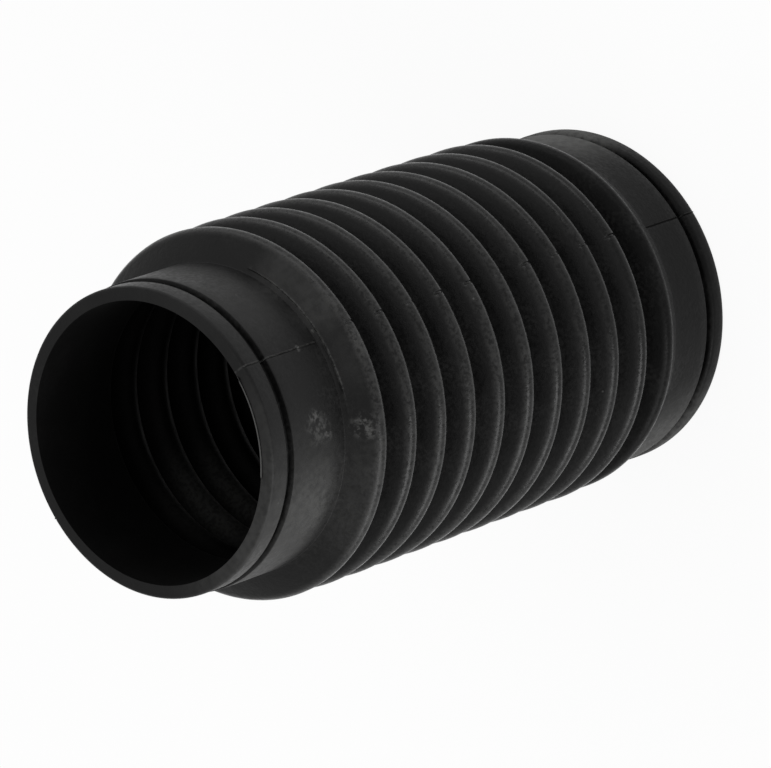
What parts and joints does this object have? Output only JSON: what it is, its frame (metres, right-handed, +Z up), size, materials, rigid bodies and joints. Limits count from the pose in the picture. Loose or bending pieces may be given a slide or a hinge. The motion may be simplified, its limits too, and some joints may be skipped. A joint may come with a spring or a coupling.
{
  "type": "rear shock gaiter",
  "caption": "Black moulded rubber bellows sleeve for a motorcycle rear shock: ringed folds between a narrow and a wide plain cuff, each ending in a clip groove and a lip.",
  "frame": {"origin": "centre of the wide end's flat face, on the part's axis", "axes": "+Z runs up the axis from the wide end to the narrow end; +X and +Y are level, and the moulding seams lie at -Y and +Y"},
  "size_m": [0.075, 0.075, 0.1444],
  "materials": {
    "black_rubber": "moulded satin black"
  },
  "bodies": {
    "root": {"gaiter": "black_rubber"}
  },
  "joints": []
}
